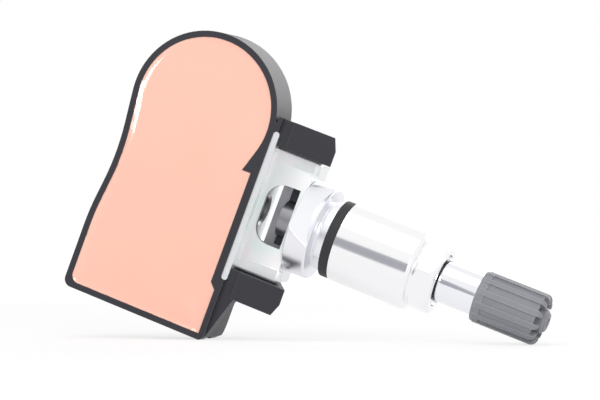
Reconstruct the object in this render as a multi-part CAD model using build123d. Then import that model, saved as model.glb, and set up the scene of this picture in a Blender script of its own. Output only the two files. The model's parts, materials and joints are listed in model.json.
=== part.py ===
from build123d import *
from math import asin, atan2, cos, hypot, radians, sin, sqrt
import os

os.makedirs("parts", exist_ok=True)

# Driving dimensions, in millimetres.
# The valve lies along X and points to +X, with X = 0 where its round base sits on the bracket.
# Y runs from the housing's open face (minus) to its back (plus), and Z runs up the housing.

# Fits
slide_clearance = 0.05
press_clearance = 0.03

# Bracket, pressed from sheet steel
plate_thickness = 1.2
plate_half_height = 14.85
plate_hole_radius = 2.6
plate_hole_chamfer = 0.45
plate_hole_reach = 1.1
plate_corner_radius = 0.55
sheet_thickness = 1.0
cage_length = 8.1
cage_half_height = 12.25
cage_front_depth = 5.2
cage_back_depth = 5.2
cage_edge_radius = 0.6
arm_length = 1.0
arm_height = 2.5
arm_depth = 2.2
arm_end_radius = 1.0
panel_draw = 1.0
window_half_height = 5.9
window_end_wall = 1.1
window_corner_radius = 3.4
back_slot_width = 1.1
back_slot_half_height = 6.5
plate_front_reach = 2.1
bracket_rise = 0.5

# Housing, moulded plastic cup
housing_depth = 12.6
front_to_axis = 7.5
base_width = 30.05
base_drop = 26.8
base_corner_radius = 1.6
head_setback = 0.475
head_rise = 14.65
wall = 1.2
floor = 1.2
back_edge_radius = 3.0
waist_depth = 1.5
waist_rise = 0.6
shoulder_rise = -11.5
waist_bend_radius = 50.0
recess_depth = 0.85
recess_wall = 1.5
notch_rise = 6.3
notch_bend_rise = 10.6
ear_length = 11.8
ear_height = 5.4
ear_depth = 11.0
ear_end_slope = 4.6
ear_top_draft = 1.35
ear_corner_length = 1.0
ear_corner_height = 2.4
ear_lip_length = 1.95
ear_lip_step = 0.7
gusset_reach = 2.8
gusset_depth = 3.0
foot_length = 3.6
foot_notch_length = 3.0
foot_notch_depth = 0.7
foot_chamfer = 0.8

# Potting compound and what it holds
potting_recess = 0.35
board_thickness = 1.0
board_gap = 1.2
board_cover = 1.9
battery_gap = 1.5
battery_thickness = 5.0
tab_thickness = 0.2
tab_width = 4.0
tab_reach = 6.0
tab_foot = 2.2
chip_width = 6.0
chip_height = 1.0
sensor_width = 5.5
sensor_height = 2.0
duct_radius = 1.5
duct_bore_radius = 0.7
crystal_length = 3.2
crystal_width = 2.5
crystal_height = 0.8
coil_length = 11.0
coil_width = 3.5
coil_height = 2.6
coil_flange = 1.2
coil_waist = 0.5
capacitor_length = 1.6
capacitor_width = 0.8
capacitor_count = 5
antenna_thickness = 0.4
antenna_height = 3.0
part_spacing = 1.4

# Valve, turned aluminium
valve_base_length = 4.8
valve_base_radius = 9.15
valve_base_chamfer = 0.35
flat_length = 3.0
flat_near_reach = 7.85
flat_far_reach = 6.9
flat_run_out = 1.7
flat_turn = 29.0
collar_length = 2.2
collar_radius = 6.8
collar_groove_radius = 6.3
collar_groove_length = 0.75
stem_radius = 3.95
thread_radius = 3.6
thread_length = 9.3
air_bore_radius = 1.3
core_bore_radius = 2.6
core_bore_depth = 15.6
tip_chamfer = 0.5

# Hollow screw that holds the valve to the bracket, and the saddle that keeps its head in place
screw_radius = 2.5
screw_length = 5.4
screw_head_radius = 3.6
screw_head_length = 2.6
screw_socket_radius = 1.7
screw_socket_depth = 1.6
screw_bore_radius = 0.7
retainer_length = 2.6
retainer_half_height = 5.7
retainer_reach = 0.4

# Rubber seal and sleeve nut
seal_thickness = 2.0
seal_radius = 7.55
seal_spigot_radius = 5.6
seal_spigot_length = 2.0
sleeve_length = 15.6
sleeve_radius = 7.7
sleeve_edge_radius = 0.9
nut_neck_length = 0.5
nut_neck_radius = 6.6
nut_hex_length = 4.1
nut_hex_radius = 7.55
nut_hex_turn = -10.0
nut_cone_length = 1.1
nut_mouth_radius = 5.1
nut_mouth_depth = 1.2

# Valve core
core_tip_gap = 0.5
core_length = 11.0
core_lower_length = 2.8
core_lower_radius = 2.05
core_spring_room = 5.4
core_spring_room_radius = 1.6
core_hole_radius = 0.65
core_seal_length = 1.8
pin_radius = 0.55
pin_collar_radius = 1.45
pin_collar_length = 0.6
pin_button_length = 1.2
pin_button_radius = 0.8
pin_flange_radius = 1.25
pin_flange_length = 0.8
plunger_seal_length = 1.1
plunger_seal_radius = 1.7
spring_wire_radius = 0.14
spring_turns = 5

# Cap, moulded plastic
cap_gap = 7.75
cap_length = 13.05
cap_collar_radius = 4.81
cap_collar_length = 1.6
cap_rib_radius = 5.0
cap_rib_setback = 0.45
cap_end_round = 1.1
cap_rib_count = 12
cap_pocket_width = 1.5
cap_pocket_depth = 0.4
cap_pocket_turn = -1.0
cap_end_wall = 0.6
cap_claw_wall = 1.65
cap_slot_length = 1.1
cap_boss_radius = 2.4
cap_boss_reach = 0.75
cap_boss_chamfer = 0.7
cap_boss_hole_radius = 1.1
cap_boss_hole_depth = 0.5
gasket_thickness = 0.8
gasket_side_gap = 0.15

# Places worked out from the sizes
plate_face = -cage_length
plate_back = plate_face - plate_thickness
right_wall = plate_back + recess_depth
front = -front_to_axis
back = front + housing_depth
cavity_back = back - floor
potting_front = front + potting_recess
head_x = right_wall - base_width / 2 - head_setback
head_radius = base_width / 2 - head_setback
left_wall = right_wall - base_width
cavity_right = plate_back - recess_wall
corner_right = right_wall - wall
head_bore = head_radius - wall
ear_inner = cage_half_height + 2 * slide_clearance
ear_outer = ear_inner + ear_height
slot_end = plate_half_height + slide_clearance
crease_half_height = cage_half_height - arm_height
plate_front = -cage_front_depth - plate_front_reach
neck_rise = bracket_rise + ear_outer - ear_top_draft

collar_start = valve_base_length
seal_start = collar_start + collar_length
sleeve_start = seal_start + seal_thickness
sleeve_end = sleeve_start + sleeve_length
nut_hex_start = sleeve_end + nut_neck_length
nut_end = nut_hex_start + nut_hex_length
cap_start = nut_end + cap_gap
cap_end = cap_start + cap_length
thread_start = cap_start - 2 * slide_clearance
stem_tip = thread_start + thread_length
core_bore_start = stem_tip - core_bore_depth
gasket_end = stem_tip + gasket_thickness
cap_floor_end = gasket_end + cap_end_wall
cap_bore_radius = thread_radius + slide_clearance


def block(x0, x1, y0, y1, z0, z1):
    """A box between two corners."""
    centre = Pos((x0 + x1) / 2, (y0 + y1) / 2, (z0 + z1) / 2)
    return centre * Box(x1 - x0, y1 - y0, z1 - z0)


def rod(radius, x0, x1):
    """A round bar along the valve axis."""
    return Pos((x0 + x1) / 2, 0, 0) * Rot(0, 90, 0) * Cylinder(radius, x1 - x0)


def disc(radius, x, z, y0, y1):
    """A round bar through the depth of the housing."""
    return Pos(x, (y0 + y1) / 2, z) * Rot(90, 0, 0) * Cylinder(radius, y1 - y0)


def through_depth(sketch, y0, y1):
    """A sketch drawn in X and Z, given depth from y0 to y1."""
    plane = Plane(origin=(0, y1, 0), x_dir=(1, 0, 0), z_dir=(0, -1, 0))
    return extrude(plane * sketch, amount=y1 - y0, dir=(0, -1, 0))


def turned(*outline):
    """A shape turned about the valve axis from points of X and radius."""
    return revolve(make_face(Polyline(*outline, close=True)), Axis.X)


def hexagon(radius, x, turn):
    """A hexagon across the valve axis, with one corner turned down from the front."""
    plane = Plane(origin=(x, 0, 0), x_dir=(0, -1, 0), z_dir=(1, 0, 0))
    return plane * RegularPolygon(radius, 6, rotation=turn)


def oblong(radius, x):
    """An outline across the valve axis, round at both ends and longer towards the back."""
    plane = Plane(origin=(x, plate_hole_reach / 2, 0), x_dir=(0, 1, 0), z_dir=(1, 0, 0))
    return plane * SlotCenterToCenter(plate_hole_reach, 2 * radius)


def mirrored(shape):
    """The same shape on both sides of the valve axis."""
    return [shape, mirror(shape, about=Plane.XY)]


def head_edge(z, radius):
    """X of the head's right side at one height."""
    return head_x + sqrt(radius**2 - (z - head_rise) ** 2)


def cup_face(inset, right_side):
    """The housing's outline, set in from the outside, with its right side given from the bottom up."""
    radius = head_radius - inset
    bottom = inset - base_drop
    left = left_wall + inset
    waist = (left + waist_depth, waist_rise)
    across = head_x - waist[0]
    up = head_rise - waist[1]
    reach = hypot(across, up)
    heading = atan2(up, across) + asin(radius / reach)
    length = sqrt(reach**2 - radius**2)
    shoulder = (waist[0] + length * cos(heading), waist[1] + length * sin(heading))
    hip = (left, shoulder_rise)
    corner = (left, bottom)
    top = (head_x, head_rise + radius)
    sides = Polyline(shoulder, waist, hip, corner, *right_side)
    face = make_face([sides, ThreePointArc(right_side[-1], top, shoulder)])
    for point, bend in ((waist, waist_bend_radius), (hip, waist_bend_radius), (corner, base_corner_radius)):
        nearest = face.vertices().sort_by_distance((*point, 0))[0]
        face = fillet(nearest, bend)
    return face


def cavity_face(inset):
    """The inside of the cup, and what is set in from it."""
    step_top = bracket_rise - slot_end - wall
    step_bottom = step_top - wall
    radius = head_bore - inset
    bend_x = head_edge(notch_bend_rise, radius)
    drop = notch_bend_rise - notch_rise + inset
    notch_x = bend_x - drop * (head_rise - notch_bend_rise) / (bend_x - head_x)
    right_side = [
        (corner_right - inset, wall + inset - base_drop),
        (corner_right - inset, step_bottom),
        (cavity_right - inset, step_top),
        (cavity_right - inset, notch_rise - inset),
        (notch_x, notch_rise - inset),
        (bend_x, notch_bend_rise),
    ]
    return cup_face(wall + inset, right_side)


def ear():
    """The upper ear: shorter and lower towards its back, with its outer corner cut off."""
    ear_back = front + ear_depth
    end = right_wall + ear_length
    root = right_wall - recess_depth
    plan = Polygon((root, front), (end, front), (end - ear_end_slope, ear_back), (root, ear_back), align=None)
    body = extrude(Pos(0, 0, ear_inner) * plan, amount=ear_height, dir=(0, 0, 1))
    side_plane = Plane(origin=(root, 0, 0), x_dir=(0, 1, 0), z_dir=(1, 0, 0))
    side = Polygon(
        (front, ear_inner),
        (front, ear_outer),
        (ear_back, ear_outer - ear_top_draft),
        (ear_back, ear_inner),
        align=None,
    )
    body = body & extrude(side_plane * side, amount=end - root, dir=(1, 0, 0))
    corner = Polygon(
        (end - ear_corner_length, ear_outer),
        (end, ear_outer - ear_corner_height),
        (end + ear_corner_length, ear_outer - ear_corner_height),
        (end + ear_corner_length, ear_outer),
        align=None,
    )
    corner_plane = Plane(origin=(0, front, 0), x_dir=(1, 0, 0), z_dir=(0, -1, 0))
    slant = (-ear_end_slope, ear_depth, 0)
    body = body - extrude(corner_plane * corner, amount=hypot(ear_depth, ear_end_slope), dir=slant)
    lip_end = plate_face + slide_clearance + ear_lip_length
    step = block(right_wall, lip_end, front, front + ear_lip_step, ear_inner, ear_outer)
    return body - step


def make_housing():
    right_side = [
        (right_wall - foot_chamfer, -base_drop),
        (right_wall, foot_chamfer - base_drop),
        (right_wall, neck_rise),
        (head_edge(neck_rise, head_radius), neck_rise),
    ]
    cup = through_depth(cup_face(0, right_side), front, back)
    back_edges = cup.faces().sort_by(Axis.Y)[-1].edges()
    rounded = back_edges.filter_by(lambda edge: edge.center().X < right_wall - wall)
    cup = fillet(rounded, back_edge_radius)
    for lug in mirrored(ear()):
        cup = cup + Pos(0, 0, bracket_rise) * lug

    # Gusset below the lower ear, from nothing at the bottom corner to its full reach at the ear
    ear_under = bracket_rise - ear_outer
    gusset_root = right_wall - wall / 2
    gusset_top = ear_under + ear_top_draft
    gusset_front = front + ear_lip_step
    gusset = Polygon(
        (gusset_root, foot_chamfer - base_drop),
        (right_wall, foot_chamfer - base_drop),
        (right_wall + gusset_reach, ear_under),
        (right_wall + gusset_reach, gusset_top),
        (gusset_root, gusset_top),
        align=None,
    )
    cup = cup + through_depth(gusset, gusset_front, gusset_front + gusset_depth)
    cup = cup - through_depth(cavity_face(0), front, cavity_back)
    slot = block(plate_back, plate_face + slide_clearance, front, back, -slot_end, slot_end)
    cup = cup - Pos(0, 0, bracket_rise) * slot

    # Two feet at the corner that the sensor stands on
    notch = block(
        right_wall - 2 * foot_notch_depth,
        right_wall + foot_notch_depth,
        front + foot_length,
        front + foot_length + foot_notch_length,
        -base_drop - foot_notch_depth,
        foot_notch_depth - base_drop,
    )
    cup = cup - notch
    port = disc(duct_radius, duct_x, duct_z, cavity_back, back)
    return cup - port


def make_bracket():
    plate = block(plate_back, plate_face, plate_front, cage_back_depth, -plate_half_height, plate_half_height)
    ends = plate.edges().filter_by(Axis.Y)
    plate = fillet(ends, plate_corner_radius)

    outer = block(
        plate_face, arm_length, -cage_front_depth, cage_back_depth, -cage_half_height, cage_half_height
    )
    outer = fillet(outer.edges().filter_by(Axis.X), cage_edge_radius)
    arm_corners = outer.edges().filter_by(Axis.Y).group_by(Axis.X)[-1]
    outer = fillet(arm_corners, arm_end_radius)
    inner_front = sheet_thickness - cage_front_depth
    inner_back = cage_back_depth - sheet_thickness
    inner_height = cage_half_height - sheet_thickness
    room = block(plate_face, -plate_thickness, inner_front, inner_back, -inner_height, inner_height)
    mouth = block(0, arm_length, inner_front, inner_back, -inner_height, inner_height)
    base_room = block(
        0, arm_length, -cage_front_depth, cage_back_depth, -crease_half_height, crease_half_height
    )
    arm_back = block(
        0, arm_length, arm_depth - cage_front_depth, cage_back_depth, -cage_half_height, cage_half_height
    )
    cage = outer - room - mouth - base_room - arm_back

    # The front panel between the creases is drawn in towards the valve, along an arc
    draw_start = window_end_wall + plate_face
    draw_line = Polyline(
        (draw_start, -cage_front_depth), (0, -cage_front_depth), (0, panel_draw - cage_front_depth)
    )
    draw_arc = ThreePointArc(
        (0, panel_draw - cage_front_depth),
        (draw_start / 2, panel_draw / 4 - cage_front_depth),
        (draw_start, -cage_front_depth),
    )
    drawn = make_face([draw_line, draw_arc])
    draw_cut = extrude(Pos(0, 0, -crease_half_height) * drawn, amount=2 * crease_half_height, dir=(0, 0, 1))
    cage = cage - draw_cut

    # Window in the front panel
    window = block(
        window_end_wall + plate_face,
        -plate_thickness,
        -cage_front_depth,
        inner_front,
        -window_half_height,
        window_half_height,
    )
    cage = cage - fillet(window.edges().filter_by(Axis.Y).group_by(Axis.X)[0], window_corner_radius)

    # Relief slot in the back wall, along the plate
    cage = cage - block(
        plate_face,
        plate_face + back_slot_width,
        inner_back,
        cage_back_depth,
        -back_slot_half_height,
        back_slot_half_height,
    )

    bracket = Pos(0, 0, bracket_rise) * (plate + cage)

    # Oblong hole in the plate, through which the screw is turned
    flare_start = plate_face - plate_hole_chamfer
    hole = extrude(oblong(plate_hole_radius, plate_back), amount=plate_thickness)
    flare = loft(
        [oblong(plate_hole_radius, flare_start), oblong(plate_hole_radius + plate_hole_chamfer, plate_face)]
    )
    seat_hole = rod(screw_radius + press_clearance, -plate_thickness, 0)
    return bracket - hole - flare - seat_hole


def make_valve_screw():
    head_face = -plate_thickness - screw_head_length
    screw = rod(screw_head_radius, head_face, -plate_thickness)
    screw = screw + rod(screw_radius, -plate_thickness, screw_length - plate_thickness)
    socket = extrude(hexagon(screw_socket_radius, head_face, 0), amount=screw_socket_depth)
    return screw - socket - rod(screw_bore_radius, head_face, screw_length - plate_thickness)


def make_screw_retainer():
    """A saddle round the screw's head, against the cage's end and back walls."""
    end = -plate_thickness
    start = end - retainer_length
    inner_back = cage_back_depth - sheet_thickness
    top = bracket_rise + retainer_half_height
    bottom = bracket_rise - retainer_half_height
    saddle = block(start, end, -retainer_reach, inner_back, bottom, top)
    return saddle - rod(screw_head_radius + slide_clearance, start, end)


def make_valve_stem():
    base = turned(
        (0, 0),
        (0, valve_base_radius - valve_base_chamfer),
        (valve_base_chamfer, valve_base_radius),
        (valve_base_length - valve_base_chamfer, valve_base_radius),
        (valve_base_length, valve_base_radius - valve_base_chamfer),
        (valve_base_length, 0),
    )

    # Two flats for a spanner, opposite each other, a little deeper towards the valve's outer end.
    # Each ends in a conical run-out that rises to the base's rim.
    outside = 2 * valve_base_radius
    flat_slope = (flat_far_reach - flat_near_reach) / flat_length
    flat = Polygon(
        (0, -flat_near_reach),
        (0, -outside),
        (valve_base_length, -outside),
        (valve_base_length, -flat_near_reach - flat_slope * valve_base_length),
        align=None,
    )
    flat_cut = extrude(Pos(0, 0, -outside) * flat, amount=2 * outside, dir=(0, 0, 1))
    run_out_slope = (valve_base_radius - flat_far_reach) / flat_run_out
    run_out_start = flat_length / 2
    flat_cut = flat_cut - turned(
        (run_out_start, 0),
        (run_out_start, flat_far_reach + run_out_slope * (run_out_start - flat_length)),
        (valve_base_length, flat_far_reach + run_out_slope * (valve_base_length - flat_length)),
        (valve_base_length, 0),
    )
    for turn in (-flat_turn, 180 - flat_turn):
        base = base - Rot(turn, 0, 0) * flat_cut
    groove_end = collar_start + collar_groove_length
    shaft = turned(
        (0, 0),
        (collar_start, 0),
        (collar_start, collar_groove_radius),
        (groove_end, collar_groove_radius),
        (groove_end, collar_radius),
        (seal_start, collar_radius),
        (seal_start, stem_radius),
        (thread_start, stem_radius),
        (thread_start, thread_radius),
        (stem_tip - tip_chamfer, thread_radius),
        (stem_tip, thread_radius - tip_chamfer),
        (stem_tip, 0),
    )
    stem = base + shaft
    screw_hole = rod(screw_radius + press_clearance, 0, screw_length - plate_thickness)
    air_bore = rod(air_bore_radius, 0, core_bore_start)
    core_bore = rod(core_bore_radius, core_bore_start, stem_tip)
    return stem - screw_hole - air_bore - core_bore


def make_rubber_seal():
    spigot_end = sleeve_start + seal_spigot_length
    bore = stem_radius + press_clearance
    return turned(
        (seal_start, bore),
        (seal_start, seal_radius),
        (sleeve_start, seal_radius),
        (sleeve_start, seal_spigot_radius),
        (spigot_end, seal_spigot_radius),
        (spigot_end, bore),
    )


def make_sleeve_nut():
    bore = stem_radius + slide_clearance
    spigot_room = seal_spigot_radius + 2 * slide_clearance
    spigot_end = sleeve_start + seal_spigot_length + 2 * slide_clearance
    sleeve = turned(
        (sleeve_start, spigot_room),
        (sleeve_start, sleeve_radius),
        (sleeve_end, sleeve_radius),
        (sleeve_end, nut_neck_radius),
        (nut_hex_start, nut_neck_radius),
        (nut_hex_start, bore),
        (spigot_end, bore),
        (spigot_end, spigot_room),
    )
    rim = sleeve.edges().filter_by(GeomType.CIRCLE).filter_by(lambda e: abs(e.radius - sleeve_radius) < 0.01)
    sleeve = fillet(rim.sort_by(Axis.X)[-1], sleeve_edge_radius)
    hex_end = extrude(hexagon(nut_hex_radius, nut_hex_start, nut_hex_turn), amount=nut_hex_length)
    flat_radius = nut_hex_radius * cos(radians(30))
    envelope = turned(
        (nut_hex_start, 0),
        (nut_hex_start, flat_radius + nut_neck_length / 2),
        (nut_hex_start + nut_cone_length / 2, nut_hex_radius),
        (nut_end - nut_cone_length, nut_hex_radius),
        (nut_end, flat_radius - nut_neck_length / 2),
        (nut_end, 0),
    )
    hex_end = hex_end & envelope
    hex_end = hex_end - rod(bore, nut_hex_start, nut_end)
    hex_end = hex_end - rod(nut_mouth_radius, nut_end - nut_mouth_depth, nut_end)
    return sleeve + hex_end


def make_core():
    """Valve core: body, body seal, pin, plunger seal and spring."""
    top = stem_tip - core_tip_gap
    bottom = top - core_length
    shoulder = bottom + core_lower_length
    room = top - core_spring_room
    body_radius = core_bore_radius - press_clearance
    body = turned(
        (bottom, core_hole_radius),
        (bottom, core_lower_radius),
        (shoulder, core_lower_radius),
        (shoulder, body_radius),
        (top, body_radius),
        (top, core_spring_room_radius),
        (room, core_spring_room_radius),
        (room, core_hole_radius),
    )
    seal = rod(body_radius, shoulder - core_seal_length, shoulder)
    seal = seal - rod(core_lower_radius, shoulder - core_seal_length, shoulder)

    collar_end = top - pin_button_length + core_tip_gap
    collar_start_x = collar_end - pin_collar_length
    flange_end = bottom - plunger_seal_length
    pin = rod(pin_radius, flange_end, collar_end)
    pin = pin + rod(pin_flange_radius, flange_end - pin_flange_length, flange_end)
    pin = pin + rod(pin_collar_radius, collar_start_x, collar_end)
    pin = pin + rod(pin_button_radius, collar_end, collar_end + pin_button_length - core_tip_gap)
    plunger = rod(plunger_seal_radius, flange_end, bottom) - rod(pin_radius, flange_end, bottom)

    coil_radius = (pin_radius + core_spring_room_radius) / 2
    spring_length = collar_start_x - room - 2 * spring_wire_radius
    helix = Helix(
        pitch=spring_length / spring_turns,
        height=spring_length,
        radius=coil_radius,
        center=(room + spring_wire_radius, 0, 0),
        direction=(1, 0, 0),
    )
    section = Plane(origin=helix @ 0, z_dir=helix % 0) * Circle(spring_wire_radius)
    spring = sweep(section, path=helix)
    return body, seal, pin, plunger, spring


def make_cap():
    rib_start = cap_start + cap_rib_setback
    outline = make_face(
        Polyline(
            (cap_start, 0),
            (cap_start, cap_collar_radius),
            (rib_start, cap_collar_radius),
            (rib_start, cap_rib_radius),
            (cap_end, cap_rib_radius),
            (cap_end, 0),
            close=True,
        )
    )
    outer_corner = outline.vertices().sort_by_distance((cap_end, cap_rib_radius, 0))[0]
    outline = fillet(outer_corner, cap_end_round)
    cap = revolve(outline, Axis.X)
    cap = cap - rod(cap_bore_radius, cap_start, gasket_end)

    # Boss in the middle of the outer end, with a ring of room between it and the claws
    claw_inner = cap_rib_radius - cap_claw_wall
    ring = rod(claw_inner, cap_floor_end, cap_end) - rod(cap_boss_radius, cap_floor_end, cap_end)
    boss_end = cap_end + cap_boss_reach
    boss = turned(
        (cap_floor_end, 0),
        (cap_floor_end, cap_boss_radius),
        (boss_end - cap_boss_chamfer, cap_boss_radius),
        (boss_end, cap_boss_radius - cap_boss_chamfer),
        (boss_end, 0),
    )
    cap = cap - ring + boss - rod(cap_boss_hole_radius, boss_end - cap_boss_hole_depth, boss_end)

    # Pockets between the ribs: shallow over the collar, deeper beyond it, and short slots between the claws
    half = cap_pocket_width / 2
    outside = -2 * cap_rib_radius
    collar_end = cap_start + cap_collar_length
    over_collar = block(cap_start, collar_end, outside, -cap_collar_radius, -half, half)
    pocket = block(collar_end, cap_end, outside, cap_pocket_depth - cap_rib_radius, -half, half)
    slot_start = cap_end - cap_slot_length
    slot = block(slot_start, cap_end, outside, -(cap_boss_radius + claw_inner) / 2, -half, half)
    for index in range(cap_rib_count):
        turn = Rot(cap_pocket_turn + index * 360 / cap_rib_count, 0, 0)
        cap = cap - turn * over_collar - turn * pocket - turn * slot
    return cap


def make_cap_gasket():
    return rod(cap_bore_radius - gasket_side_gap, stem_tip, gasket_end)


# Circuit board and parts: the board stands off the cup's floor, with its parts on the open side
board_back = cavity_back - board_cover + board_thickness
board_front = board_back - board_thickness
board_left = left_wall + waist_depth + wall + board_gap
board_right = cavity_right - board_gap
board_bottom = wall + board_gap - base_drop
battery_radius = head_bore - battery_gap
battery_back = board_front - 2 * tab_thickness
battery_front = battery_back - battery_thickness
battery_edge = head_rise - battery_radius
antenna_left = board_left + part_spacing
antenna_bottom = board_bottom + part_spacing
chip_left = antenna_left + antenna_thickness + part_spacing
duct_x = board_right - part_spacing - sensor_width / 2
duct_z = battery_edge - tab_reach - part_spacing - sensor_width / 2
lower_row = antenna_bottom + antenna_thickness + part_spacing


def on_board(x, z, length, width, height):
    """A part that stands on the board, from its lower left corner."""
    return block(x, x + length, board_front - height, board_front, z, z + width)


def make_circuit_board():
    board = through_depth(cavity_face(board_gap), board_front, board_back)
    return board - disc(duct_bore_radius, duct_x, duct_z, board_front, board_back)


def make_battery_tabs():
    """Positive strip over the battery's front, negative strip behind it, both down to the board."""
    foot_top = battery_edge - tab_thickness
    plus_left = head_x + part_spacing
    plus_right = plus_left + tab_width
    plus = block(
        plus_left, plus_right, battery_front - tab_thickness, battery_front, foot_top, battery_edge + tab_reach
    )
    plus = plus + block(
        plus_left, plus_right, battery_front - tab_thickness, board_front, foot_top - tab_thickness, foot_top
    )
    plus = plus + block(
        plus_left, plus_right, board_front - tab_thickness, board_front, foot_top - tab_foot, foot_top
    )
    minus_right = head_x - part_spacing
    minus_left = minus_right - tab_width
    minus_top = board_front - tab_thickness
    minus = block(
        minus_left, minus_right, battery_back, minus_top, foot_top - tab_foot, battery_edge + tab_reach
    )
    minus = minus + block(minus_left, minus_right, minus_top, board_front, foot_top - tab_foot, foot_top)
    return plus, minus


def make_wake_coil():
    left = chip_left + crystal_length + part_spacing
    core = on_board(left, lower_row, coil_length, coil_width, coil_height)
    for side in (-1, 1):
        middle = lower_row + coil_width / 2 + side * (coil_width - coil_waist) / 2
        cut = block(
            left + coil_flange,
            left + coil_length - coil_flange,
            board_front - coil_height,
            board_front,
            middle - coil_waist / 2,
            middle + coil_waist / 2,
        )
        core = core - cut
    return core


def make_capacitors():
    row = []
    for index in range(capacitor_count):
        x = chip_left + index * (capacitor_width + part_spacing / 2)
        z = lower_row + crystal_width + part_spacing
        row.append(on_board(x, z, capacitor_width, capacitor_length, capacitor_width))
    return row


def make_antenna():
    upright_strip = on_board(
        antenna_left, antenna_bottom, antenna_thickness, chip_top - antenna_bottom, antenna_height
    )
    foot_strip = on_board(
        antenna_left, antenna_bottom, board_right - part_spacing - antenna_left, antenna_thickness, antenna_height
    )
    return upright_strip + foot_strip


chip_bottom = lower_row + crystal_width + capacitor_length + 2 * part_spacing
chip_top = chip_bottom + chip_width
tab_plus, tab_minus = make_battery_tabs()
core_body, core_seal, core_pin, core_plunger_seal, core_spring = make_core()
capacitors = make_capacitors()

electronics = {
    "circuit_board": make_circuit_board(),
    "battery": disc(battery_radius, head_x, head_rise, battery_front, battery_back),
    "battery_tab_positive": tab_plus,
    "battery_tab_negative": tab_minus,
    "pressure_sensor": on_board(
        duct_x - sensor_width / 2, duct_z - sensor_width / 2, sensor_width, sensor_width, sensor_height
    ),
    "pressure_duct": disc(duct_radius, duct_x, duct_z, board_back, back)
    - disc(duct_bore_radius, duct_x, duct_z, board_back, back),
    "radio_chip": on_board(chip_left, chip_bottom, chip_width, chip_width, chip_height),
    "crystal": on_board(chip_left, lower_row, crystal_length, crystal_width, crystal_height),
    "wake_coil": make_wake_coil(),
    "capacitors": Compound(capacitors),
    "antenna": make_antenna(),
}

potting = through_depth(cavity_face(0), potting_front, cavity_back)
for name, piece in electronics.items():
    if name == "capacitors":
        for capacitor in capacitors:
            potting = potting - capacitor
    else:
        potting = potting - piece
potting = potting - disc(duct_bore_radius, duct_x, duct_z, board_front, back)

nodes = {
    "housing": make_housing(),
    "potting_compound": potting,
    **electronics,
    "bracket": make_bracket(),
    "valve_screw": make_valve_screw(),
    "screw_retainer": make_screw_retainer(),
    "valve_stem": make_valve_stem(),
    "rubber_seal": make_rubber_seal(),
    "sleeve_nut": make_sleeve_nut(),
    "core_body": core_body,
    "core_seal": core_seal,
    "core_pin": core_pin,
    "core_plunger_seal": core_plunger_seal,
    "core_spring": core_spring,
    "valve_cap": make_cap(),
    "cap_gasket": make_cap_gasket(),
}


def lowest(name, tilt):
    return (Rot(0, tilt, 0) * nodes[name]).bounding_box().min.Z


# The sensor stands on the housing's lower corner and on the cap, so it leans until both are level
low_tilt, high_tilt = 5.0, 40.0
for step in range(24):
    tilt = (low_tilt + high_tilt) / 2
    if lowest("valve_cap", tilt) > lowest("housing", tilt):
        low_tilt = tilt
    else:
        high_tilt = tilt

leaning = {name: Rot(0, tilt, 0) * shape for name, shape in nodes.items()}
boxes = [leaning[name].bounding_box() for name in ("housing", "valve_stem", "valve_cap")]
middle_x = (min(box.min.X for box in boxes) + max(box.max.X for box in boxes)) / 2
middle_y = (min(box.min.Y for box in boxes) + max(box.max.Y for box in boxes)) / 2
ground = min(box.min.Z for box in boxes)
for name, shape in leaning.items():
    export_step(Pos(-middle_x, -middle_y, -ground) * shape, f"parts/{name}.step")

print("tilt", tilt, "shift", -middle_x, -middle_y, -ground)
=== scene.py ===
import bpy
import json
import math
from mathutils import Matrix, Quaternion, Vector
from mathutils.kdtree import KDTree


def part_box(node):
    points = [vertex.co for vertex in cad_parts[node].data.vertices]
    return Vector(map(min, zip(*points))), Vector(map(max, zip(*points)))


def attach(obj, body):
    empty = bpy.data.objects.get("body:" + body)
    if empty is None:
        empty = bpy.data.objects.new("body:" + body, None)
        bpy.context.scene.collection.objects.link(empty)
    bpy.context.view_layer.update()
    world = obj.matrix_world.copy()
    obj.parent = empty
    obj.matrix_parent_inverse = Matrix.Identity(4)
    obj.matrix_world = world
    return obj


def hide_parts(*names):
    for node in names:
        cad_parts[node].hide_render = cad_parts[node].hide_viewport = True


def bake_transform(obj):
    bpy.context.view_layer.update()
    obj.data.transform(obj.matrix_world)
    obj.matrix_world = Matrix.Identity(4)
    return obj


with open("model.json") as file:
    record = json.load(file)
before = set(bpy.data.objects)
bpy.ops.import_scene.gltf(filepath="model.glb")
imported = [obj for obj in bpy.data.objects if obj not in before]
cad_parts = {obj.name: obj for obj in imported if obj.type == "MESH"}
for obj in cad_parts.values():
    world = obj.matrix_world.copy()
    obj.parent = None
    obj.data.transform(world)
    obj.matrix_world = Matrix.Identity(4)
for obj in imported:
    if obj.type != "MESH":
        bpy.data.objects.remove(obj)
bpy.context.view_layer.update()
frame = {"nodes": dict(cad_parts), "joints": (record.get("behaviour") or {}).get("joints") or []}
nodes = frame["nodes"]
joints = {joint["name"]: joint for joint in frame["joints"]}
mm = 0.001


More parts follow.
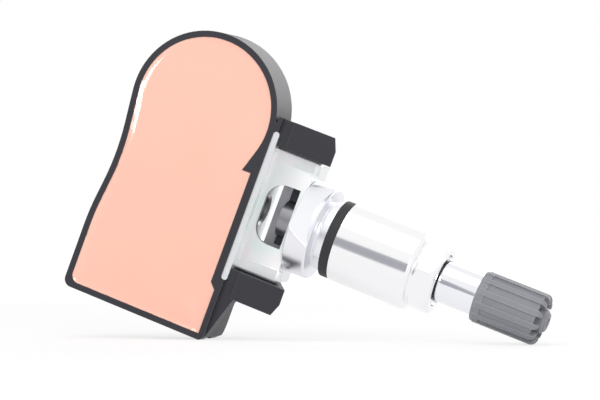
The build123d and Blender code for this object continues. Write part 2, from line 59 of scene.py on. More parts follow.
# Housing: a cup moulded in black glass-filled nylon, with a round head, a straight base and two ears
# that hold the bracket. Its edges are as round as the mould leaves them, and its skin is finely grained.
def softened_copy(node, name, width, sharpness):
    """A copy of a solid with its triangles merged and its sharp edges rounded."""
    merge_gap = 0.002 * mm
    flat_angle = math.radians(0.3)
    mesh = nodes[node].data.copy()
    mesh.materials.clear()
    piece = bpy.data.objects.new(name, mesh)
    bpy.context.scene.collection.objects.link(piece)
    bpy.ops.object.select_all(action="DESELECT")
    piece.select_set(True)
    bpy.context.view_layer.objects.active = piece
    if mesh.has_custom_normals:
        bpy.ops.mesh.customdata_custom_splitnormals_clear()
    bpy.ops.object.mode_set(mode="EDIT")
    bpy.ops.mesh.select_all(action="SELECT")
    bpy.ops.mesh.remove_doubles(threshold=merge_gap)
    bpy.ops.mesh.dissolve_limited(angle_limit=flat_angle)
    bpy.ops.object.mode_set(mode="OBJECT")
    rounding = piece.modifiers.new("rounding", "BEVEL")
    rounding.width = width
    rounding.segments = 2
    rounding.limit_method = "ANGLE"
    rounding.angle_limit = math.radians(sharpness)
    bpy.ops.object.modifier_apply(modifier="rounding")
    bpy.ops.object.shade_smooth_by_angle(angle=math.radians(sharpness))
    evening = piece.modifiers.new("evening", "WEIGHTED_NORMAL")
    evening.keep_sharp = True
    bpy.ops.object.modifier_apply(modifier="evening")
    return piece


def node_group(name, inputs, outputs):
    """An empty shader group with named number inputs and typed outputs."""
    group = bpy.data.node_groups.new(name, "ShaderNodeTree")
    for label, value in inputs:
        socket = group.interface.new_socket(label, in_out="INPUT", socket_type="NodeSocketFloat")
        socket.default_value = value
    for label, kind in outputs:
        group.interface.new_socket(label, in_out="OUTPUT", socket_type=kind)
    return group, group.nodes.new("NodeGroupInput"), group.nodes.new("NodeGroupOutput")


def new_finish(name, colour, roughness, metallic=0.0):
    """A material with its shader's plain values set."""
    material = bpy.data.materials.new(name)
    material.use_nodes = True
    shader = material.node_tree.nodes["Principled BSDF"]
    shader.inputs["Base Color"].default_value = (*colour, 1)
    shader.inputs["Roughness"].default_value = roughness
    shader.inputs["Metallic"].default_value = metallic
    return material, material.node_tree, shader


def placed_group(tree, group, **values):
    """One use of a shared shader group, with its own values."""
    use = tree.nodes.new("ShaderNodeGroup")
    use.node_tree = group
    for label, value in values.items():
        use.inputs[label].default_value = value
    return use


def two_tone(tree, factor, first, second):
    """A colour that goes from one tone to another."""
    mix = tree.nodes.new("ShaderNodeMix")
    mix.data_type = "RGBA"
    mix.inputs["A"].default_value = (*first, 1)
    mix.inputs["B"].default_value = (*second, 1)
    tree.links.new(factor, mix.inputs["Factor"])
    return mix.outputs["Result"]


def spread(tree, factor, low, high):
    """A number that runs from low to high as the factor goes from 0 to 1."""
    span = tree.nodes.new("ShaderNodeMapRange")
    span.inputs["To Min"].default_value = low
    span.inputs["To Max"].default_value = high
    tree.links.new(factor, span.inputs["Value"])
    return span.outputs["Result"]


def raised(tree, shader, height, strength, depth):
    """Fine relief on the shader's normal."""
    bump = tree.nodes.new("ShaderNodeBump")
    bump.inputs["Strength"].default_value = strength
    bump.inputs["Distance"].default_value = depth
    tree.links.new(height, bump.inputs["Height"])
    tree.links.new(bump.outputs["Normal"], shader.inputs["Normal"])


# Grain: fine relief and a slow change of tone, used on every moulded and cast surface
grain, grain_in, grain_out = node_group(
    "surface_grain",
    [("Fineness", 3000.0), ("Drift", 120.0)],
    [("Relief", "NodeSocketFloat"), ("Tone", "NodeSocketFloat")],
)
grain_place = grain.nodes.new("ShaderNodeTexCoord")
grain_fine = grain.nodes.new("ShaderNodeTexNoise")
grain_fine.inputs["Detail"].default_value = 3
grain_slow = grain.nodes.new("ShaderNodeTexNoise")
grain_slow.inputs["Detail"].default_value = 2
grain.links.new(grain_place.outputs["Object"], grain_fine.inputs["Vector"])
grain.links.new(grain_place.outputs["Object"], grain_slow.inputs["Vector"])
grain.links.new(grain_in.outputs["Fineness"], grain_fine.inputs["Scale"])
grain.links.new(grain_in.outputs["Drift"], grain_slow.inputs["Scale"])
grain.links.new(grain_fine.outputs["Fac"], grain_out.inputs["Relief"])
grain.links.new(grain_slow.outputs["Fac"], grain_out.inputs["Tone"])

# Edge wear and sheen: where two faces meet, the tone of a moulding or a plating is a little lighter,
# partly wear of its skin and partly painted sheen
edges, edges_in, edges_out = node_group(
    "edge_wear_and_sheen", [("Radius", 0.25 * mm)], [("Edge", "NodeSocketFloat")]
)
edges_round = edges.nodes.new("ShaderNodeBevel")
edges_round.samples = 6
edges_flat = edges.nodes.new("ShaderNodeNewGeometry")
edges_turn = edges.nodes.new("ShaderNodeVectorMath")
edges_turn.operation = "DOT_PRODUCT"
edges_span = edges.nodes.new("ShaderNodeMapRange")
edges_span.inputs["From Min"].default_value = 1.0
edges_span.inputs["From Max"].default_value = 0.8
edges.links.new(edges_in.outputs["Radius"], edges_round.inputs["Radius"])
edges.links.new(edges_round.outputs["Normal"], edges_turn.inputs[0])
edges.links.new(edges_flat.outputs["Normal"], edges_turn.inputs[1])
edges.links.new(edges_turn.outputs["Value"], edges_span.inputs["Value"])
edges.links.new(edges_span.outputs["Result"], edges_out.inputs["Edge"])


def edged(tree, tone, edge_tone, radius):
    """A tone that gives way to a lighter one where two faces meet: wear and painted sheen."""
    wear_and_sheen = placed_group(tree, edges, Radius=radius)
    mix = tree.nodes.new("ShaderNodeMix")
    mix.data_type = "RGBA"
    mix.inputs["B"].default_value = (*edge_tone, 1)
    tree.links.new(wear_and_sheen.outputs["Edge"], mix.inputs["Factor"])
    tree.links.new(tone, mix.inputs["A"])
    return mix.outputs["Result"]


black_nylon, tree, shader = new_finish("black_nylon", (0.02, 0.02, 0.027), 0.5)
skin = placed_group(tree, grain, Fineness=4200.0, Drift=90.0)
nylon_tone = two_tone(tree, skin.outputs["Tone"], (0.017, 0.017, 0.023), (0.026, 0.026, 0.034))
# Lighter where faces meet: wear and painted sheen
nylon_tone = edged(tree, nylon_tone, (0.06, 0.06, 0.072), 0.3 * mm)
tree.links.new(nylon_tone, shader.inputs["Base Color"])
tree.links.new(spread(tree, skin.outputs["Relief"], 0.36, 0.56), shader.inputs["Roughness"])
raised(tree, shader, skin.outputs["Relief"], 0.3, 0.02 * mm)

housing = softened_copy("housing", "housing_shell", 0.14 * mm, 35)
housing.data.materials.append(black_nylon)
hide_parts("housing")
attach(housing, "sensor")


# Circuit board and what is soldered to it: green laminate with a cell, its strips, a radio chip,
# a crystal, a wake-up coil, capacitors and a strip antenna, and the pressure can with its duct.
# The potting compound hides all of it but the duct's end, in the housing's back.
def inner_finish(name, first, second, roughness, metallic, fineness):
    """A finish of two close tones for a piece that is seen only when the sensor is taken apart."""
    material, tree, shader = new_finish(name, first, roughness, metallic)
    skin = placed_group(tree, grain, Fineness=fineness, Drift=fineness / 6)
    tree.links.new(two_tone(tree, skin.outputs["Tone"], first, second), shader.inputs["Base Color"])
    satin = spread(tree, skin.outputs["Relief"], roughness - 0.06, roughness + 0.06)
    tree.links.new(satin, shader.inputs["Roughness"])
    raised(tree, shader, skin.outputs["Relief"], 0.1, 0.01 * mm)
    return material


def finished(node, finish):
    """Gives a finish to a solid that is shown just as it is."""
    nodes[node].data.materials.clear()
    nodes[node].data.materials.append(finish)


solder_mask = inner_finish("solder_mask", (0.01, 0.12, 0.05), (0.015, 0.19, 0.08), 0.3, 0.0, 1500)
nickel = inner_finish("nickel", (0.55, 0.54, 0.51), (0.63, 0.62, 0.59), 0.3, 1.0, 1200)
chip_resin = inner_finish("chip_resin", (0.02, 0.02, 0.02), (0.032, 0.031, 0.03), 0.55, 0.0, 3000)
ferrite = inner_finish("ferrite", (0.05, 0.045, 0.042), (0.08, 0.072, 0.066), 0.6, 0.0, 2500)
fired_ceramic = inner_finish("fired_ceramic", (0.38, 0.27, 0.17), (0.48, 0.36, 0.24), 0.5, 0.0, 2500)
clear_silicone = inner_finish("clear_silicone", (0.55, 0.55, 0.54), (0.66, 0.66, 0.65), 0.45, 0.0, 1200)
inner_pieces = {
    "circuit_board": solder_mask,
    "battery": nickel,
    "battery_tab_positive": nickel,
    "battery_tab_negative": nickel,
    "pressure_sensor": nickel,
    "crystal": nickel,
    "antenna": nickel,
    "radio_chip": chip_resin,
    "wake_coil": ferrite,
    "capacitors": fired_ceramic,
    "pressure_duct": clear_silicone,
}
for node, finish in inner_pieces.items():
    finished(node, finish)


# Potting compound: peach two-part resin, poured into the cup and cured with a glossy skin.
# It creeps up the wall all round, most of all on the left, so its border is a hollow meniscus.
potting = softened_copy("potting_compound", "potting_fill", 0.001 * mm, 179)
low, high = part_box("potting_compound")
face_y = low.y
on_face = 0.005 * mm
front_depth = 0.01 * mm
cell = 0.55 * mm
border_step = 0.03 * mm
at_wall = 0.01 * mm
wall_reach = 0.12 * mm
creep = 0.34 * mm
creep_width = 0.95 * mm
even_share, left_share = 0.62, 0.38
wave_height = 0.012 * mm
wave_rate_x, wave_shift_x = 210, 0.8
wave_rate_z, wave_shift_z = 150, 0.3
calm_width = 2 * mm


def front_faces(mesh):
    """Selects the faces of the resin's open side, and nothing else."""
    for face in mesh.polygons:
        face.select = face.normal.y < -0.99 and abs(face.center.y - face_y) < front_depth


bpy.ops.object.select_all(action="DESELECT")
potting.select_set(True)
bpy.context.view_layer.objects.active = potting
bpy.ops.object.mode_set(mode="EDIT")
bpy.ops.mesh.select_mode(type="FACE")
bpy.ops.mesh.select_all(action="DESELECT")
bpy.ops.object.mode_set(mode="OBJECT")
front_faces(potting.data)
border = []
for edge_key in potting.data.edge_keys:
    first, second = (potting.data.vertices[index].co for index in edge_key)
    if abs(first.y - face_y) > on_face or abs(second.y - face_y) > on_face:
        continue
    sharing = [face for face in potting.data.polygons if set(edge_key) <= set(face.vertices)]
    if len([face for face in sharing if face.select]) == 1:
        steps = max(1, int((second - first).length / border_step))
        border.extend(first.lerp(second, step / steps) for step in range(steps + 1))
wall_points = KDTree(len(border))
for index, point in enumerate(border):
    wall_points.insert(point, index)
wall_points.balance()

# The open face is cut into cells, so that it can take the form of the meniscus and a slight wave
for direction, start, end in (((1, 0, 0), low.x, high.x), ((0, 0, 1), low.z, high.z)):
    for step in range(1, int((end - start) / cell) + 1):
        front_faces(potting.data)
        bpy.ops.object.mode_set(mode="EDIT")
        place = Vector(direction) * (start + step * cell)
        bpy.ops.mesh.bisect(plane_co=place, plane_no=direction)
        bpy.ops.object.mode_set(mode="OBJECT")
leans = {}
wall_vertices = []
for vertex in potting.data.vertices:
    if abs(vertex.co.y - face_y) > on_face:
        continue
    nearest, _, gap = wall_points.find(vertex.co)
    inward = (vertex.co - nearest) / gap if gap > at_wall else Vector((0.4, 0, 0))
    share = even_share + left_share * inward.x
    rise = creep * share * math.exp(-gap / creep_width)
    wave_x = math.sin(vertex.co.x * wave_rate_x + wave_shift_x)
    wave_z = math.sin(vertex.co.z * wave_rate_z + wave_shift_z)
    vertex.co.y += -rise + wave_height * (wave_x * wave_z) * min(1, gap / calm_width)
    if gap > wall_reach:
        slope = rise / creep_width
        leans[vertex.index] = Vector((inward.x * slope, -1, inward.z * slope)).normalized()
    else:
        wall_vertices.append(vertex.index)
bpy.ops.mesh.customdata_custom_splitnormals_clear()
bpy.ops.object.shade_smooth_by_angle(angle=math.radians(40))

# The skin of the resin is smooth, so its shading follows the meniscus and not the cells of the mesh
inner_points = KDTree(len(leans))
for index in leans:
    inner_points.insert(potting.data.vertices[index].co, index)
inner_points.balance()
for index in wall_vertices:
    leans[index] = leans[inner_points.find(potting.data.vertices[index].co)[1]]
skin_normals = [Vector((0, 0, 0))] * len(potting.data.loops)
for face in potting.data.polygons:
    if face.normal.y < -0.5 and all(index in leans for index in face.vertices):
        for loop in face.loop_indices:
            skin_normals[loop] = leans[potting.data.loops[loop].vertex_index]
potting.data.normals_split_custom_set(skin_normals)

peach_resin, tree, shader = new_finish("peach_resin", (0.965, 0.543, 0.423), 0.1)
skin = placed_group(tree, grain, Fineness=500.0, Drift=60.0)
resin_tone = two_tone(tree, skin.outputs["Tone"], (0.955, 0.53, 0.41), (0.975, 0.555, 0.435))
tree.links.new(resin_tone, shader.inputs["Base Color"])
tree.links.new(spread(tree, skin.outputs["Relief"], 0.07, 0.14), shader.inputs["Roughness"])
raised(tree, shader, skin.outputs["Relief"], 0.04, 0.02 * mm)
shader.inputs["Coat Weight"].default_value = 0.6
shader.inputs["Coat Roughness"].default_value = 0.05
potting.data.materials.append(peach_resin)
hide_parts("potting_compound")
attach(potting, "sensor")


# Bracket: pressed from sheet steel, bent into a cage on a base plate that sits in slots of the ears.
# It is zinc plated with a clear passivation, which leaves faint green and pink tints.
# Its faces turned to the front behind the valve's axis carry painted shade: dark in the plate's hole and
# a little grey on the back wall's inside.
zinc_plate, tree, shader = new_finish("zinc_plate", (0.86, 0.88, 0.88), 0.4, 0.8)
skin = placed_group(tree, grain, Fineness=2600.0, Drift=260.0)
tint = tree.nodes.new("ShaderNodeValToRGB")
tint.color_ramp.elements[0].position = 0.3
tint.color_ramp.elements[0].color = (0.80, 0.87, 0.85, 1)
tint.color_ramp.elements[1].position = 0.7
tint.color_ramp.elements[1].color = (0.89, 0.86, 0.88, 1)
middle_tint = tint.color_ramp.elements.new(0.5)
middle_tint.color = (0.86, 0.88, 0.88, 1)
tree.links.new(skin.outputs["Tone"], tint.inputs["Fac"])
# Painted shade: faces turned to the front, behind the valve's axis, go dark up to 3 mm back and a little
# grey from 3.8 mm on
wall_place = tree.nodes.new("ShaderNodeTexCoord")
wall_parts = tree.nodes.new("ShaderNodeSeparateXYZ")
wall_depth = tree.nodes.new("ShaderNodeMapRange")
wall_depth.inputs["From Max"].default_value = 2 * mm
wall_side = tree.nodes.new("ShaderNodeVectorMath")
wall_side.operation = "DOT_PRODUCT"
wall_side.inputs[1].default_value = (0, -1, 0)
wall_inside = tree.nodes.new("ShaderNodeMath")
wall_inside.operation = "MULTIPLY"
wall_inside.use_clamp = True
wall_shade_mix = tree.nodes.new("ShaderNodeMix")
wall_shade_mix.data_type = "RGBA"
wall_deep = tree.nodes.new("ShaderNodeMapRange")
wall_deep.inputs["From Min"].default_value = 3.0 * mm
wall_deep.inputs["From Max"].default_value = 3.8 * mm
wall_painted_shade = two_tone(tree, wall_deep.outputs["Result"], (0.16, 0.16, 0.17), (0.80, 0.79, 0.85))
tree.links.new(wall_place.outputs["Object"], wall_parts.inputs["Vector"])
tree.links.new(wall_parts.outputs["Y"], wall_depth.inputs["Value"])
tree.links.new(wall_parts.outputs["Y"], wall_deep.inputs["Value"])
tree.links.new(wall_painted_shade, wall_shade_mix.inputs["B"])
tree.links.new(wall_place.outputs["Normal"], wall_side.inputs[0])
tree.links.new(wall_depth.outputs["Result"], wall_inside.inputs[0])
tree.links.new(wall_side.outputs["Value"], wall_inside.inputs[1])
tree.links.new(wall_inside.outputs["Value"], wall_shade_mix.inputs["Factor"])
tree.links.new(tint.outputs["Color"], wall_shade_mix.inputs["A"])
tree.links.new(wall_shade_mix.outputs["Result"], shader.inputs["Base Color"])
tree.links.new(spread(tree, skin.outputs["Relief"], 0.32, 0.48), shader.inputs["Roughness"])
raised(tree, shader, skin.outputs["Relief"], 0.18, 0.015 * mm)

bracket = softened_copy("bracket", "bracket_pressing", 0.12 * mm, 35)
bracket.data.materials.append(zinc_plate)
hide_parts("bracket")
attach(bracket, "sensor")


# Valve screw: a hollow plated screw through the bracket's end wall into the valve's base.
# Only the side of its head shows, in the bracket's window, between the ends of a black plastic saddle.
dull_plating = inner_finish("dull_plating", (0.30, 0.30, 0.32), (0.36, 0.36, 0.38), 0.38, 1.0, 1800)
finished("valve_screw", dull_plating)
# The saddle's black gives the dark patches beside the screw's head: a dark piece put in for the shade
# there
finished("screw_retainer", black_nylon)


# Valve stem: turned from an aluminium bar, with a round base that has two flats, a step collar
# and a long stem. Clear anodising leaves it bright, with fine rings from the lathe.
valve_axis = Vector(joints["nut_travel"]["axis"])
rings, rings_in, rings_out = node_group(
    "lathe_rings",
    [("Fineness", 6000.0)],
    [("Relief", "NodeSocketFloat")],
)
rings_place = rings.nodes.new("ShaderNodeTexCoord")
rings_along = rings.nodes.new("ShaderNodeVectorMath")
rings_along.operation = "DOT_PRODUCT"
rings_along.inputs[1].default_value = valve_axis
rings_noise = rings.nodes.new("ShaderNodeTexNoise")
rings_noise.noise_dimensions = "1D"
rings_noise.inputs["Detail"].default_value = 2
rings.links.new(rings_place.outputs["Object"], rings_along.inputs[0])
rings.links.new(rings_along.outputs["Value"], rings_noise.inputs["W"])
rings.links.new(rings_in.outputs["Fineness"], rings_noise.inputs["Scale"])
rings.links.new(rings_noise.outputs["Fac"], rings_out.inputs["Relief"])


def turned_finish(name, first, second, roughness, fineness):
    """Turned and anodised aluminium of two close tones."""
    material, tree, shader = new_finish(name, first, roughness, 1.0)
    lathe = placed_group(tree, rings, Fineness=fineness)
    skin = placed_group(tree, grain, Fineness=2200.0, Drift=160.0)
    tree.links.new(two_tone(tree, skin.outputs["Tone"], first, second), shader.inputs["Base Color"])
    satin = spread(tree, lathe.outputs["Relief"], roughness - 0.02, roughness + 0.03)
    tree.links.new(satin, shader.inputs["Roughness"])
    raised(tree, shader, lathe.outputs["Relief"], 0.02, 0.002 * mm)
    return material, tree, shader


# The stem's base is duller than the rest of it, as the tool that mills its flats leaves it
bright_tones = ((0.87, 0.875, 0.915), (0.90, 0.905, 0.935))
bright_aluminium, tree, shader = turned_finish("bright_aluminium", *bright_tones, 0.12, 5200)
seal_near = min(vertex.co.dot(valve_axis) for vertex in nodes["rubber_seal"].data.vertices)
dull_border = 0.1 * mm
base_place = tree.nodes.new("ShaderNodeTexCoord")
base_along = tree.nodes.new("ShaderNodeVectorMath")
base_along.operation = "DOT_PRODUCT"
base_along.inputs[1].default_value = valve_axis
base_share = tree.nodes.new("ShaderNodeMapRange")
base_share.inputs["From Min"].default_value = seal_near + dull_border
base_share.inputs["From Max"].default_value = seal_near - dull_border
base_dull = tree.nodes.new("ShaderNodeMix")
base_dull.inputs["B"].default_value = 0.33
tree.links.new(base_place.outputs["Object"], base_along.inputs[0])
tree.links.new(base_along.outputs["Value"], base_share.inputs["Value"])
tree.links.new(base_share.outputs["Result"], base_dull.inputs["Factor"])
tree.links.new(shader.inputs["Roughness"].links[0].from_socket, base_dull.inputs["A"])
tree.links.new(base_dull.outputs["Result"], shader.inputs["Roughness"])
stem = softened_copy("valve_stem", "valve_stem_turned", 0.1 * mm, 25)
stem.data.materials.append(bright_aluminium)
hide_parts("valve_stem")
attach(stem, "sensor")


# Cap thread: rolled into the stem's outer end, as one ridge that winds round it under the cap.
# It is of the stem's own metal, and it shows when the cap is screwed off.
thread_pitch = 0.794 * mm
thread_turns = 10
thread_steps = 48
plain_tip = 1.0 * mm
root_radius, crest_radius = 3.5 * mm, 3.84 * mm
root_half, crest_half = 0.38 * mm, 0.06 * mm
stem_tip = max(vertex.co.dot(valve_axis) for vertex in nodes["valve_stem"].data.vertices)
cap_pivot = Vector(joints["cap_turn"]["pos_m"])
tip_middle = cap_pivot + valve_axis * (stem_tip - cap_pivot.dot(valve_axis))
thread_start = tip_middle - valve_axis * (plain_tip + thread_turns * thread_pitch)
ridge_corners = (
    (root_radius, -root_half),
    (root_radius, root_half),
    (crest_radius, -crest_half),
    (crest_radius, crest_half),
)
bpy.ops.object.select_all(action="DESELECT")
bpy.ops.mesh.primitive_plane_add(size=1.0, location=(0, 0, 0))
thread = bpy.context.object
thread.name = "valve_stem_thread"
for vertex, (radius, along) in zip(thread.data.vertices, ridge_corners):
    vertex.co = (radius, 0, along)
bpy.ops.object.mode_set(mode="EDIT")
bpy.ops.mesh.select_all(action="SELECT")
bpy.ops.mesh.delete(type="ONLY_FACE")
bpy.ops.object.mode_set(mode="OBJECT")
winding = thread.modifiers.new("winding", "SCREW")
winding.axis = "Z"
winding.screw_offset = thread_pitch
winding.iterations = thread_turns
winding.steps = thread_steps
winding.render_steps = thread_steps
winding.use_normal_calculate = True
bpy.ops.object.modifier_apply(modifier="winding")
bpy.ops.object.mode_set(mode="EDIT")
bpy.ops.mesh.select_all(action="SELECT")
bpy.ops.mesh.fill_holes(sides=4)
bpy.ops.mesh.normals_make_consistent(inside=False)
bpy.ops.object.mode_set(mode="OBJECT")
thread.rotation_euler = valve_axis.to_track_quat("Z", "Y").to_euler()
thread.location = thread_start
bpy.ops.object.transform_apply(location=True, rotation=True, scale=True)
bpy.ops.object.shade_smooth_by_angle(angle=math.radians(25))
thread.data.materials.append(bright_aluminium)
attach(thread, "sensor")


# Rubber seal: a black moulded ring with a spigot, squeezed between the step collar and the wheel rim.
# It is matt, with a slight bloom.
black_rubber, tree, shader = new_finish("black_rubber", (0.018, 0.018, 0.02), 0.62)
skin = placed_group(tree, grain, Fineness=3600.0, Drift=220.0)
rubber_tone = two_tone(tree, skin.outputs["Tone"], (0.014, 0.014, 0.016), (0.03, 0.03, 0.033))
tree.links.new(rubber_tone, shader.inputs["Base Color"])
tree.links.new(spread(tree, skin.outputs["Relief"], 0.52, 0.72), shader.inputs["Roughness"])
raised(tree, shader, skin.outputs["Relief"], 0.2, 0.02 * mm)
seal = softened_copy("rubber_seal", "rubber_seal_ring", 0.22 * mm, 35)
seal.data.materials.append(black_rubber)
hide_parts("rubber_seal")
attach(seal, "sensor")


# Sleeve nut: a long smooth aluminium nut with a hex at its outer end. It screws along the stem
# and clamps the rim against the seal, and is a little more satin than the stem.
satin_tones = ((0.925, 0.925, 0.935), (0.94, 0.94, 0.95))
satin_aluminium = turned_finish("satin_aluminium", *satin_tones, 0.14, 4200)[0]
sleeve = softened_copy("sleeve_nut", "sleeve_nut_turned", 0.12 * mm, 25)
sleeve.data.materials.append(satin_aluminium)
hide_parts("sleeve_nut")
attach(sleeve, "nut")


# Valve core: a small brass body with a red seal, a pin with a rubber plunger, and a steel spring.
# It is screwed into the stem's mouth, under the cap.
turned_brass = inner_finish("turned_brass", (0.62, 0.45, 0.18), (0.74, 0.56, 0.26), 0.28, 1.0, 1500)
red_seal = inner_finish("red_seal", (0.42, 0.02, 0.02), (0.52, 0.035, 0.03), 0.4, 0.0, 2000)
drawn_wire = inner_finish("drawn_wire", (0.45, 0.45, 0.46), (0.55, 0.55, 0.56), 0.3, 1.0, 2500)
finished("core_body", turned_brass)
finished("core_pin", turned_brass)
finished("core_seal", red_seal)
finished("core_plunger_seal", black_rubber)

# The spring shortens when the pin is pressed, its inner end staying in the body and its outer end going
# with the pin.
# Here it gets no body of its own: its placing is only baked into its mesh
spring = softened_copy("core_spring", "core_spring_coil", 0.01 * mm, 60)
spring.data.materials.append(drawn_wire)
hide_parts("core_spring")
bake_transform(spring)


# Valve cap: moulded in grey nylon, with ribs for the fingers, claws at its outer end
# and a boss between them. A rubber disc inside it seals on the stem's tip.
grey_nylon, tree, shader = new_finish("grey_nylon", (0.237, 0.241, 0.26), 0.5)
skin = placed_group(tree, grain, Fineness=3800.0, Drift=200.0)
cap_tone = two_tone(tree, skin.outputs["Tone"], (0.22, 0.224, 0.242), (0.255, 0.259, 0.278))
# Lighter where faces meet: wear and painted sheen
cap_tone = edged(tree, cap_tone, (0.38, 0.385, 0.405), 0.25 * mm)
tree.links.new(cap_tone, shader.inputs["Base Color"])
tree.links.new(spread(tree, skin.outputs["Relief"], 0.4, 0.58), shader.inputs["Roughness"])
raised(tree, shader, skin.outputs["Relief"], 0.25, 0.02 * mm)
cap = softened_copy("valve_cap", "valve_cap_moulding", 0.1 * mm, 35)

# The cap's bore is opened up to the thread's outer size, so that the ridge has room in it
bore_room = 0.06 * mm
bore_radius = crest_radius + bore_room
for vertex in cap.data.vertices:
    off_axis = (vertex.co - tip_middle) - valve_axis * (vertex.co - tip_middle).dot(valve_axis)
    if root_radius < off_axis.length < crest_radius:
        vertex.co += off_axis * (bore_radius / off_axis.length - 1)
cap.data.materials.append(grey_nylon)
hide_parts("valve_cap")
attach(cap, "cap")
finished("cap_gasket", black_rubber)


# Studio: a white table that keeps the contact shadows, a white surround with two grey cards in front,
# and soft lamps. The camera stands a little right of the open face, just above the table.
bpy.ops.object.select_all(action="DESELECT")
bpy.ops.mesh.primitive_plane_add(size=6.0, location=(0, 0, 0))
table = bpy.context.object
table.name = "table_top"
table_white, tree, shader = new_finish("table_white", (0.86, 0.86, 0.87), 0.7)
shader.inputs["Specular IOR Level"].default_value = 0.1
light_path = tree.nodes.new("ShaderNodeLightPath")
seen_or_mirrored = tree.nodes.new("ShaderNodeMath")
seen_or_mirrored.operation = "MAXIMUM"
tree.links.new(light_path.outputs["Is Camera Ray"], seen_or_mirrored.inputs[0])
tree.links.new(light_path.outputs["Is Glossy Ray"], seen_or_mirrored.inputs[1])
near_white = tree.nodes.new("ShaderNodeMath")
near_white.operation = "MULTIPLY"
near_white.inputs[1].default_value = 0.65
tree.links.new(seen_or_mirrored.outputs["Value"], near_white.inputs[0])
spot = tree.nodes.new("ShaderNodeTexCoord")
reach = tree.nodes.new("ShaderNodeVectorMath")
reach.operation = "LENGTH"
far = tree.nodes.new("ShaderNodeMapRange")
far.interpolation_type = "SMOOTHSTEP"
far.inputs["From Min"].default_value = 0.08
far.inputs["From Max"].default_value = 0.3
far_white = tree.nodes.new("ShaderNodeEmission")
far_white.inputs["Strength"].default_value = 1.08
blank = tree.nodes.new("ShaderNodeMixShader")
tree.links.new(spot.outputs["Object"], reach.inputs[0])
tree.links.new(reach.outputs["Value"], far.inputs["Value"])
white_share = tree.nodes.new("ShaderNodeMath")
white_share.operation = "MAXIMUM"
tree.links.new(far.outputs["Result"], white_share.inputs[0])
tree.links.new(near_white.outputs["Value"], white_share.inputs[1])
tree.links.new(white_share.outputs["Value"], blank.inputs["Fac"])
tree.links.new(shader.outputs["BSDF"], blank.inputs[1])
tree.links.new(far_white.outputs["Emission"], blank.inputs[2])
tree.links.new(blank.outputs["Shader"], tree.nodes["Material Output"].inputs["Surface"])
table.data.materials.append(table_white)

# Two grey cards stand in front, left of the camera. The near one gives the bright metal its
# grey stripes, and the far one keeps the flat faces of the housing and bracket from going white
card_grey, tree, shader = new_finish("card_grey", (0.4, 0.4, 0.43), 0.9)
card_glow = tree.nodes.new("ShaderNodeEmission")
card_glow.inputs["Color"].default_value = (0.4, 0.4, 0.44, 1)
tree.links.new(card_glow.outputs["Emission"], tree.nodes["Material Output"].inputs["Surface"])
card_way = Vector((-0.272, -0.962, 0))
card_turn = card_way.to_track_quat("Z", "Y").to_euler()
for name, place, width, height in (
    ("near_card", (-0.0103, -0.1443, 0.03), 0.05, 0.06),
    ("far_card", (-0.0975, -0.262, 0.0375), 0.099, 0.075),
):
    bpy.ops.object.select_all(action="DESELECT")
    bpy.ops.mesh.primitive_plane_add(size=1.0, location=place)
    card = bpy.context.object
    card.name = name
    card.scale = (width, height, 1)
    card.rotation_euler = card_turn
    card.data.materials.append(card_grey)
    card.visible_camera = False
    card.visible_diffuse = False
    card.visible_shadow = False

world = bpy.data.worlds.new("white_surround")
bpy.context.scene.world = world
world.use_nodes = True
tree = world.node_tree
background = tree.nodes["Background"]
light_path = tree.nodes.new("ShaderNodeLightPath")
fill = tree.nodes.new("ShaderNodeMix")
fill.data_type = "RGBA"
fill.inputs["A"].default_value = (0.5, 0.5, 0.51, 1)
fill.inputs["B"].default_value = (1, 1, 1, 1)
tree.links.new(light_path.outputs["Is Glossy Ray"], fill.inputs["Factor"])
seen = tree.nodes.new("ShaderNodeMix")
seen.data_type = "RGBA"
seen.inputs["B"].default_value = (1, 1, 1, 1)
tree.links.new(light_path.outputs["Is Camera Ray"], seen.inputs["Factor"])
tree.links.new(fill.outputs["Result"], seen.inputs["A"])
tree.links.new(seen.outputs["Result"], background.inputs["Color"])


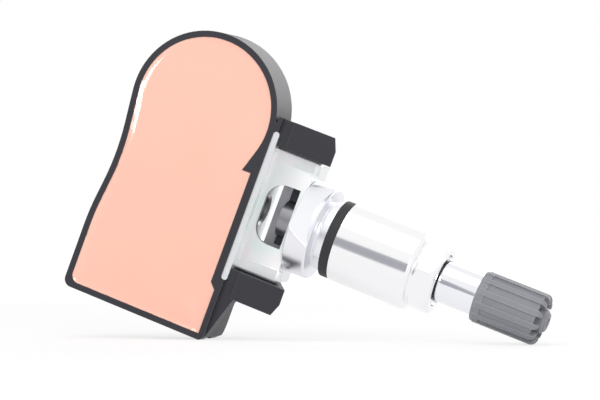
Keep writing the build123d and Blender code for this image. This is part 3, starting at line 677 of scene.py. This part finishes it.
def soft_lamp(name, place, aim, width, height, power):
    """A rectangular soft lamp that faces one point."""
    data = bpy.data.lights.new(name, "AREA")
    data.shape = "RECTANGLE"
    data.size = width
    data.size_y = height
    data.energy = power
    lamp = bpy.data.objects.new(name, data)
    bpy.context.scene.collection.objects.link(lamp)
    lamp.location = place
    lamp.rotation_euler = (Vector(aim) - Vector(place)).to_track_quat("-Z", "Y").to_euler()
    return lamp


soft_lamp("top_lamp", (-0.1, -0.15, 0.75), (0, 0, 0.02), 0.8, 0.6, 1.6)
soft_lamp("front_lamp", (-0.5, -0.7, 0.45), (0, 0, 0.03), 0.5, 0.5, 1.75).visible_glossy = False
soft_lamp("right_lamp", (0.45, -0.6, 0.28), (0, 0, 0.03), 0.35, 0.35, 1.5).visible_glossy = False
soft_lamp("strip_lamp", (0.2, -0.62, 0.16), (-0.01, 0, 0.03), 0.05, 0.35, 0.45)
# A small lamp in front of the cards glints in the resin's hollow left edge, beside the head.
# It lights the resin alone
glint = soft_lamp("glint_lamp", (-0.025, -0.135, 0.038), (-0.025, 0, 0.038), 0.04, 0.010, 0.0163)
glint.visible_camera = False
glint.visible_diffuse = False
glint_on = bpy.data.collections.new("glint_on")
glint_on.objects.link(potting)
glint.light_linking.receiver_collection = glint_on
soft_lamp("back_lamp", (0.25, 0.9, 0.35), (0, 0, 0.03), 1.0, 0.6, 3.0)

camera_data = bpy.data.cameras.new("camera")
camera = bpy.data.objects.new("camera", camera_data)
bpy.context.scene.collection.objects.link(camera)
bpy.context.scene.camera = camera
azimuth, elevation = math.radians(15.8), math.radians(-0.3)
distance = 0.517
pixels_per_metre = 5261.8
picture_width = 600
roll = math.radians(0.381)
target = Vector((-1.932 * mm, 0, 26.598 * mm))
level = math.cos(elevation)
toward = Vector((math.sin(azimuth) * level, -math.cos(azimuth) * level, math.sin(elevation)))
camera.location = target + toward * distance
facing = (-toward).to_track_quat("-Z", "Y")
camera.rotation_euler = (facing @ Quaternion((0, 0, 1), roll)).to_euler()
camera_data.sensor_width = 36.0
camera_data.lens = pixels_per_metre * distance / picture_width * camera_data.sensor_width
camera_data.clip_start = 0.01
camera_data.clip_end = 50.0

bpy.context.scene.view_settings.view_transform = "Standard"
